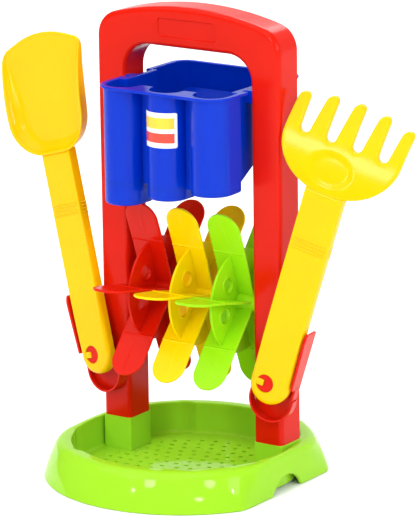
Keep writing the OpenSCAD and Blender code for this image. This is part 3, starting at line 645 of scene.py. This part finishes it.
# A paddle is a section at each radius r: half as wide as a circle's chord near its end, with
# a half circle on each edge. A bell curve raises the ridge at the bend and the middle line.
end_r = tip - paddle_half
r = np.concatenate([[5.5, 12, 20, 28, 36, 41, 42.6], np.linspace(bend_r - 1, bend_r + 1, 11),
                    [45.4, 47, 50, 56],
                    end_r + paddle_half * np.sin(np.linspace(0, pi / 2, 30))])
width = np.where(r < end_r, paddle_half,
                 np.sqrt(np.maximum(paddle_half ** 2 - (r - end_r) ** 2, 1e-6)))
taper = (r - (tip - paddle_edge)) / paddle_edge
thick = np.where(taper < 0, half_thick, np.sqrt(np.maximum(1 - taper ** 2, 0)))
ridge = 0.55 * np.exp(-((r - bend_r) / 0.55) ** 2)
edge_a = np.linspace(-pi / 2, pi / 2, 7)
inner_v = np.array([0.9, 0.5, 0.12, 0.06, 0.025, 0, -0.025, -0.06, -0.12, -0.5, -0.9])
v_x = np.concatenate([np.ones(7), inner_v, -np.ones(7), -inner_v])
v_round = np.concatenate([np.cos(edge_a), 0 * inner_v, -np.cos(edge_a), 0 * inner_v])
v_z = np.concatenate([np.sin(edge_a), 0 * inner_v + 1, -np.sin(edge_a), 0 * inner_v - 1])
soft = np.minimum(paddle_edge, width * 0.5)
x = (width - soft)[:, None] * v_x + soft[:, None] * v_round
line = (0.16 * np.exp(-(x / 0.45) ** 2) * np.clip((r - 48) / 3, 0, 1)[:, None]
        * np.clip((76 - r) / 3, 0, 1)[:, None] * (v_round == 0))
z = v_z * (thick + ridge)[:, None] + np.sign(v_z) * line * thick[:, None]
bend = bend_angle * (r > bend_r)
far = np.maximum(r - bend_r, 0)[:, None]
y = np.minimum(r, bend_r)[:, None] + far * cos(bend_angle) - z * np.sin(bend)[:, None]
paddle = np.stack([x, y, z * np.cos(bend)[:, None] + far * sin(bend_angle)], -1)

# The disc is made of six sectors. Each is a sheet from the oval hole's bead out to the edge
# of the sector, found along rays from the hole's middle.
oval = outline([[0, oval_low, -oval_half], [0, oval_high, -oval_half],
                [0, oval_high, oval_half], [0, oval_low, oval_half]], [5.4] * 4, 12)
oval_y = (oval_low + oval_high) / 2
ray_a = np.arctan2(oval[:, 2], oval[:, 1] - oval_y)
direction = np.stack([0 * ray_a, np.cos(ray_a), np.sin(ray_a)], 1)
t = np.linspace(1, 45, 4000)[:, None, None]
ray = np.array([0, oval_y, 0]) + t * direction
ray_r = np.hypot(ray[..., 1], ray[..., 2])
within = ((ray_r < disc_r) & (ray_r > 6)
          & (np.abs(np.arctan2(ray[..., 2], ray[..., 1])) < radians(180 / paddles + 0.5)))
reach = np.where(np.cumprod(within, axis=0) > 0, t[..., 0], 0).max(0)
sector = np.array([0, oval_y, 0]) + reach[:, None] * direction
half_rings = [(oval, bead_half), (oval + direction * 0.6, bead_half),
              (oval + direction * 1.3, disc_half), (sector, disc_half)]
disc = loft([ring - [h, 0, 0] for ring, h in half_rings]
            + [ring + [h, 0, 0] for ring, h in half_rings[::-1]],
            [0.25, 0.3, 0.3, 0.4, 0.4, 0.3, 0.3, 0.25], 3)
hub = loft([r * circle + [x, 0, 0] for r, x in (
    (bore_r, -hub_half), (hub_r, -hub_half), (hub_r, hub_half), (bore_r, hub_half))],
           [0.2, 0.7, 0.7, 0.2], 4)
for place, name, paint in ((-1, "wheel_left", frame_red), (0, "wheel_middle", wheel_yellow),
                           (1, "wheel_right", wheel_green)):
    centre = axis + [wheel_pitch * place, 0, 0]
    parts = [grid(hub + centre, rows=True)]
    for n in range(paddles):
        turned = 360 / paddles * n - first_paddle
        parts.append(grid(spin(paddle, radians(180 + turned)) + centre))
        parts.append(grid(spin(disc, radians(180 / paddles + turned)) + centre, rows=True))
    build(name, parts, "wheels", paint, name)

# Shovel and rake. Two yellow mouldings with the same handle: a channel 32.5 mm wide, open
# behind, with rounded front edges and a hang hole in its round end, where a small tongue
# stands. The shovel ends in a deep scoop and the rake in a bent palm with five tines.
handle_half, handle_round, tool_deep, tool_wall, hang_r = 16.25, 4, 8, 2.2, 7.3
# The grip ridges: the first one's place up the handle, their pitch, half width and height
ridges, ridge_z, ridge_pitch, ridge_half, ridge_high = 4, 113.5, 2.7, 0.9, 0.55

# Polypropylene moulded in lemon yellow: very glossy, and warm where light goes into it
tool_yellow = plastic("tool_yellow", "EEBC02", "EAB400", 0.16, 0.25, (1.0, 0.6, 0.05))


def stadium(d, end):
    """A handle's outline drawn in by d: up the right side, across the neck, down the left
    side, and round the end by a half circle."""
    r = handle_half - d
    up_z = end * np.linspace(0, 1, 40) ** 2
    x_neck = np.linspace(1, -1, 9)[1:-1]
    half_turn = np.linspace(pi, 2 * pi, 61)[1:-1]
    right = np.stack([0 * up_z + r, up_z], 1)
    neck = np.stack([x_neck * r, 0 * x_neck + end], 1)
    low_end = np.stack([r * np.cos(half_turn), r * np.sin(half_turn)], 1)
    flat = np.concatenate([right, neck, right[::-1] * [-1, 1], low_end])
    return np.stack([flat[:, 0], 0 * flat[:, 0], flat[:, 1]], 1)


def handle(end, side):
    """A handle with its hole: rings go from the open back over the rounded edge to the hole
    and back along the inside. Each grip ridge is the section's curve p, carried along the
    handle and raised along its normal n by a squared cosine."""
    middle = np.array([peg_x, 0, 0])
    full, small = stadium(0, end), stadium(tool_wall, end)
    out = full - middle
    hole = middle + hang_r * out / np.linalg.norm(out, axis=1)[:, None]
    edge = np.minimum(handle_round, np.linalg.norm(full - hole, axis=1) - 0.8)
    rows = loft([set_y(full, tool_deep), set_y(full, 0), set_y(hole, 0), set_y(hole, tool_wall),
                 set_y(small, tool_wall), set_y(small, tool_deep)],
                [0.4, edge, 0.25, 0.3, 1.6, 0.4], 8)
    tongue = block([-11.2, 0.2, -2.5], [-4.7, tool_wall, 2.5], 0.5, 0.5, 3)
    parts = [grid(rows, rows=True), tongue]
    p = loft([[[x0 * handle_half, y0, 0]] for x0, y0 in (
        (-1, tool_deep), (-1, 0), (1, 0), (1, tool_deep))],
             [0, handle_round, handle_round, 0], 9, loop=False)[:, 0]
    n = np.gradient(p, axis=0)
    n = np.stack([n[:, 1], -n[:, 0], n[:, 2]], 1) / np.linalg.norm(n, axis=1)[:, None]
    along = np.linspace(-ridge_half, ridge_half, 9)
    raised = ridge_high * np.cos(along / ridge_half * pi / 2) ** 2 - 0.06
    for k in range(ridges):
        ridge = p + raised[:, None, None] * n
        ridge[..., 2] += (along + ridge_z + ridge_pitch * k)[:, None]
        parts.append(grid(ridge, columns=False))
    return [(hang(points, side), faces) for points, faces in parts]


# The scoop: its heel's place, its length and width, the radii of its heel and tip corners,
# half the straight of its heel, and how far the crest of its tip bulges
heel_z, blade_long, blade_wide, heel_r, corner_r = 162.2, 98.5, 95.5, 33, 9
heel_half, bulge = 11, 8
# How it narrows to its floor, the floor's middle, and the circle of its edge seen from the side
blade_draft, blade_z, sag_r, sag_z, blade_front = 4.5, 214, 150, 193.7, -4.3
shovel_neck, rake_neck = 166, 163


def blade_plan(d, draft):
    """The scoop's outline drawn in by d and by a draft: the hull of two heel discs, two tip
    discs and the crest's arc, walked round in 300 equal steps from the heel's middle."""
    half = blade_wide / 2 - corner_r - 0.35 * draft
    crest_r = (half * half + bulge ** 2) / (2 * bulge)
    top_z = heel_z + blade_long
    a = np.linspace(0, 2 * pi, 240, endpoint=False)
    ring = np.stack([np.cos(a), np.sin(a)], 1)
    cloud = [ring * (heel_r - d - draft) + [s * heel_half, heel_z + heel_r] for s in (-1, 1)]
    cloud += [ring * (corner_r - d) + [s * half, top_z - bulge - corner_r] for s in (-1, 1)]
    a = np.linspace(-1, 1, 61) * np.arcsin((half - corner_r) / crest_r)
    cloud.append((crest_r - d) * np.stack([np.sin(a), np.cos(a)], 1) + [0, top_z - crest_r])
    cloud = np.concatenate(cloud)
    hull = cloud[convex_hull_2d([Vector(p) for p in cloud])]
    hull = np.roll(hull, -np.argmin(hull[:, 1] * 1000 + np.abs(hull[:, 0])), axis=0)
    hull = np.concatenate([hull, hull[:1]])
    walk = walked(hull)
    s = np.linspace(0, walk[-1], 300, endpoint=False)
    return np.stack([np.interp(s, walk, hull[:, 0]), 0 * s, np.interp(s, walk, hull[:, 1])], 1)


def blade_top(curve):
    """How far back the scoop's edge lies at each point: a circle of radius sag_r along it."""
    sag = sag_r + blade_front - np.sqrt(sag_r ** 2 - (curve[:, 2] - sag_z) ** 2)
    return np.clip(sag, -4.2, 5.65)


def between(shallow, deep, y, last):
    """The outline at each point's y, on the straight line from the shallow outline at the
    scoop's front to the deep one at the last y."""
    share = ((y - blade_front) / (last - blade_front))[:, None]
    return set_y(shallow + (deep - shallow) * share, y)


wide_out, wide_in = blade_plan(0, 0), blade_plan(tool_wall, 0)
deep_out, deep_in = blade_plan(0, blade_draft), blade_plan(tool_wall, blade_draft)
floor_y, edge_y = tool_deep - tool_wall, blade_top(wide_in)
depth = floor_y - edge_y
blade = loft([[[0, floor_y, blade_z]], set_y(deep_in, floor_y),
              between(wide_in, deep_in, edge_y, floor_y),
              between(wide_out, deep_out, edge_y, tool_deep), set_y(deep_out, tool_deep),
              [[0, tool_deep, blade_z]]],
             [0, np.minimum(14, 0.95 * depth), 1, 1, np.minimum(3, 0.3 + 0.4 * depth), 0],
             9, loop=False)
points, faces = grid(blade)
build("shovel", handle(shovel_neck, -1) + [(hang(points, -1), faces)], "shovel", tool_yellow,
      "shovel")

# The rake: where its tines start and the middle one would end, how many they are, their
# pitch, and half their width at the tip and the foot; then the palm's half sizes, and the
# radius and start of its bend
tine_z, tine_top, tines, tine_pitch, tine_half, tine_foot = 198.5, 230.5, 5, 22.375, 4.4, 7.19
palm_half, palm_long, rake_r, rake_z = 49.4, 38.4, 132, 150.4
# Its depth and the round of its edge, and the thumb's hollow: middle, half sizes and depth
rake_deep, rake_edge, rake_inset = 5, 1.6, 2.3
thumb_x, thumb_z, thumb_wide, thumb_high, thumb_deep = -2, 180, 17, 12, 1.1

# Its outline: half an ellipse for the palm, then five tines with round ends
corners, turns = [[-palm_half, tine_z]], [0]
for n in range(tines):
    x0, p = (n - 2) * tine_pitch, n / 2 - 1
    tip_z = tine_top - 5 * p * p
    if n:
        corners.append([x0 - tine_foot, tine_z])
        turns.append(4)
    corners += [[x0 - tine_half, tip_z], [x0 + tine_half, tip_z]]
    turns += [4.3, 4.3]
    if n < tines - 1:
        corners.append([x0 + tine_foot, tine_z])
        turns.append(4)
a = np.linspace(0, -pi, 42)[1:-1]
palm = np.stack([palm_half * np.cos(a), tine_z + palm_long * np.sin(a)], 1).tolist()
corners += [[palm_half, tine_z]] + palm
comb = outline([[*p, 0] for p in corners], turns + [0] * (1 + len(palm)), 8)[:, :2]
closed = np.concatenate([comb, comb[:1]])
walk = walked(closed)
s = np.linspace(0, walk[-1], 900, endpoint=False)
comb = np.stack([np.interp(s, walk, closed[:, 0]), np.interp(s, walk, closed[:, 1])], 1)
tangent = np.roll(comb, -1, 0) - np.roll(comb, 1, 0)
normal = np.stack([tangent[:, 1], -tangent[:, 0]], 1)
normal /= np.linalg.norm(normal, axis=1)[:, None]


def comb_in(d):
    """The rake's outline drawn in by d along its normals."""
    return comb + d * normal


def bent(flat, depth):
    """Flat points x, z on the rake's curve, that far below its front: a circle in the YZ
    plane that starts in the palm. The thumb's hollow is an ellipse with sloping sides."""
    a = np.arcsin(np.clip((flat[:, 1] - rake_z) / rake_r, 0, 0.95))
    dip = np.hypot((flat[:, 0] - thumb_x) / thumb_wide, (flat[:, 1] - thumb_z) / thumb_high)
    thumb = thumb_deep * np.clip(1.15 - dip, 0, 0.3) / 0.3
    y = rake_r - rake_r * np.cos(a) + depth + thumb * (depth < 3)
    return np.stack([flat[:, 0], y, flat[:, 1]], 1)


front_flat, front_faces = fill([comb_in(rake_edge)], 1.5)
back_flat, back_faces = fill([comb_in(rake_inset)], 3)
edge_rows = [bent(comb_in(rake_edge - rake_edge * sin(q)), rake_edge - rake_edge * cos(q))
             for q in np.linspace(0, pi / 2, 7)]
edge_rows += [bent(comb, rake_deep), bent(comb_in(rake_inset), rake_deep),
              bent(comb_in(rake_inset), tool_wall)]
palm_parts = [(bent(front_flat, 0), front_faces), (bent(back_flat, tool_wall), back_faces),
              grid(np.stack(edge_rows))]
palm_parts = [(hang(points, 1), faces) for points, faces in palm_parts]
build("rake", handle(rake_neck, 1) + palm_parts, "rake", tool_yellow, "rake")

# Studio. The toy stands on a plain white table under soft boxes, seen a little from the right
# and from above through a long lens. Lengths here are metres.
table = 6
floor_mesh = bpy.data.meshes.new("floor")
floor_mesh.from_pydata([(-table, -table, 0), (table, -table, 0), (table, table, 0),
                        (-table, table, 0)], [], [(0, 1, 2, 3)])
floor = bpy.data.objects.new("floor", floor_mesh)
floor.location.z = -0.0004
bpy.context.scene.collection.objects.link(floor)
# Matt white board
board, tree = blank("white_board")
skin = add(tree, "ShaderNodeBsdfDiffuse", {"Color": (0.92, 0.92, 0.92, 1)})
add(tree, "ShaderNodeOutputMaterial", {"Surface": skin.outputs["BSDF"]})
floor_mesh.materials.append(board)

world = bpy.data.worlds.new("studio")
bpy.context.scene.world = world
world.use_nodes = True
tree = world.node_tree
tree.nodes.clear()
path = add(tree, "ShaderNodeLightPath").outputs
# In reflections the dark side of the room stands in front and the lit backdrop behind
side = add(tree, "ShaderNodeSeparateXYZ",
           {"Vector": add(tree, "ShaderNodeTexCoord").outputs["Generated"]})
backdrop = add(tree, "ShaderNodeMapRange", {"Value": side.outputs["Y"], "From Min": 0.3,
                                            "From Max": 0.6, "To Min": 0.14, "To Max": 1.0})
room, mirrored, white = (
    add(tree, "ShaderNodeBackground", {"Color": (1, 1, 1, 1), "Strength": strength}).outputs[0]
    for strength in (0.78, backdrop.outputs["Result"], 1.0))
for ray, light in (("Is Glossy Ray", mirrored), ("Is Camera Ray", white)):
    room = add(tree, "ShaderNodeMixShader", {0: path[ray], 1: room, 2: light}).outputs[0]
add(tree, "ShaderNodeOutputWorld", {"Surface": room})

# The lamps all face the toy. The five small ones stand where their mirror images fall as
# bright spots on the side of the tray.
target = Vector((0, 0, 0.17))
for name, place, size, power in (
        ("key box", (-0.6, -2.0, 1.6), (0.8, 0.8), 2),
        ("back box", (-0.5, 1.9, 2.2), (1.6, 1.6), 30),
        ("side box", (1.9, -0.3, 1.0), (0.7, 0.7), 7),
        ("left box", (0.06, -1.694, 1.055), (0.30, 0.30), 4.8),
        ("low box", (1.384, -0.944, 1.088), (0.30, 0.30), 4.8),
        ("left lamp", (-0.344, -1.804, 0.783), (0.10, 0.16), 2),
        ("low lamp", (1.774, -0.505, 0.771), (0.10, 0.16), 2),
        ("small lamp", (1.317, -1.336, 0.708), (0.26, 0.10), 2.4)):
    lamp = bpy.data.lights.new(name, "AREA")
    lamp.shape = "ELLIPSE"
    lamp.size, lamp.size_y = size
    lamp.energy = power
    lamp_object = bpy.data.objects.new(name, lamp)
    lamp_object.location = place
    lamp_object.rotation_euler = (target - Vector(place)).to_track_quat("-Z", "Y").to_euler()
    bpy.context.scene.collection.objects.link(lamp_object)

sky = bpy.data.lights.new("sky panel", "SUN")
sky.energy, sky.angle, sky.specular_factor = 1.5, radians(70), 0.2
sky_object = bpy.data.objects.new("sky panel", sky)
sky_object.rotation_euler = (radians(20), radians(-10), 0)
bpy.context.scene.collection.objects.link(sky_object)

camera = bpy.data.cameras.new("camera")
camera.lens, camera.sensor_width, camera.sensor_fit = 268.61, 36, "AUTO"
camera.clip_end = 30
view = bpy.data.objects.new("camera", camera)
ahead = Vector((-0.54783, 0.79829, -0.25024)).normalized()
right = ahead.cross(Vector((0, 0, 1))).normalized()
upward = right.cross(ahead)
roll = radians(-0.718)
right, upward = (cos(roll) * right + sin(roll) * upward,
                 cos(roll) * upward - sin(roll) * right)
pose = Matrix((right, upward, -ahead)).transposed().to_4x4()
pose.translation = (1.68210, -2.41440, 0.93319)
view.matrix_world = pose
bpy.context.scene.collection.objects.link(view)
bpy.context.scene.camera = view
bpy.context.scene.view_settings.view_transform = "Standard"
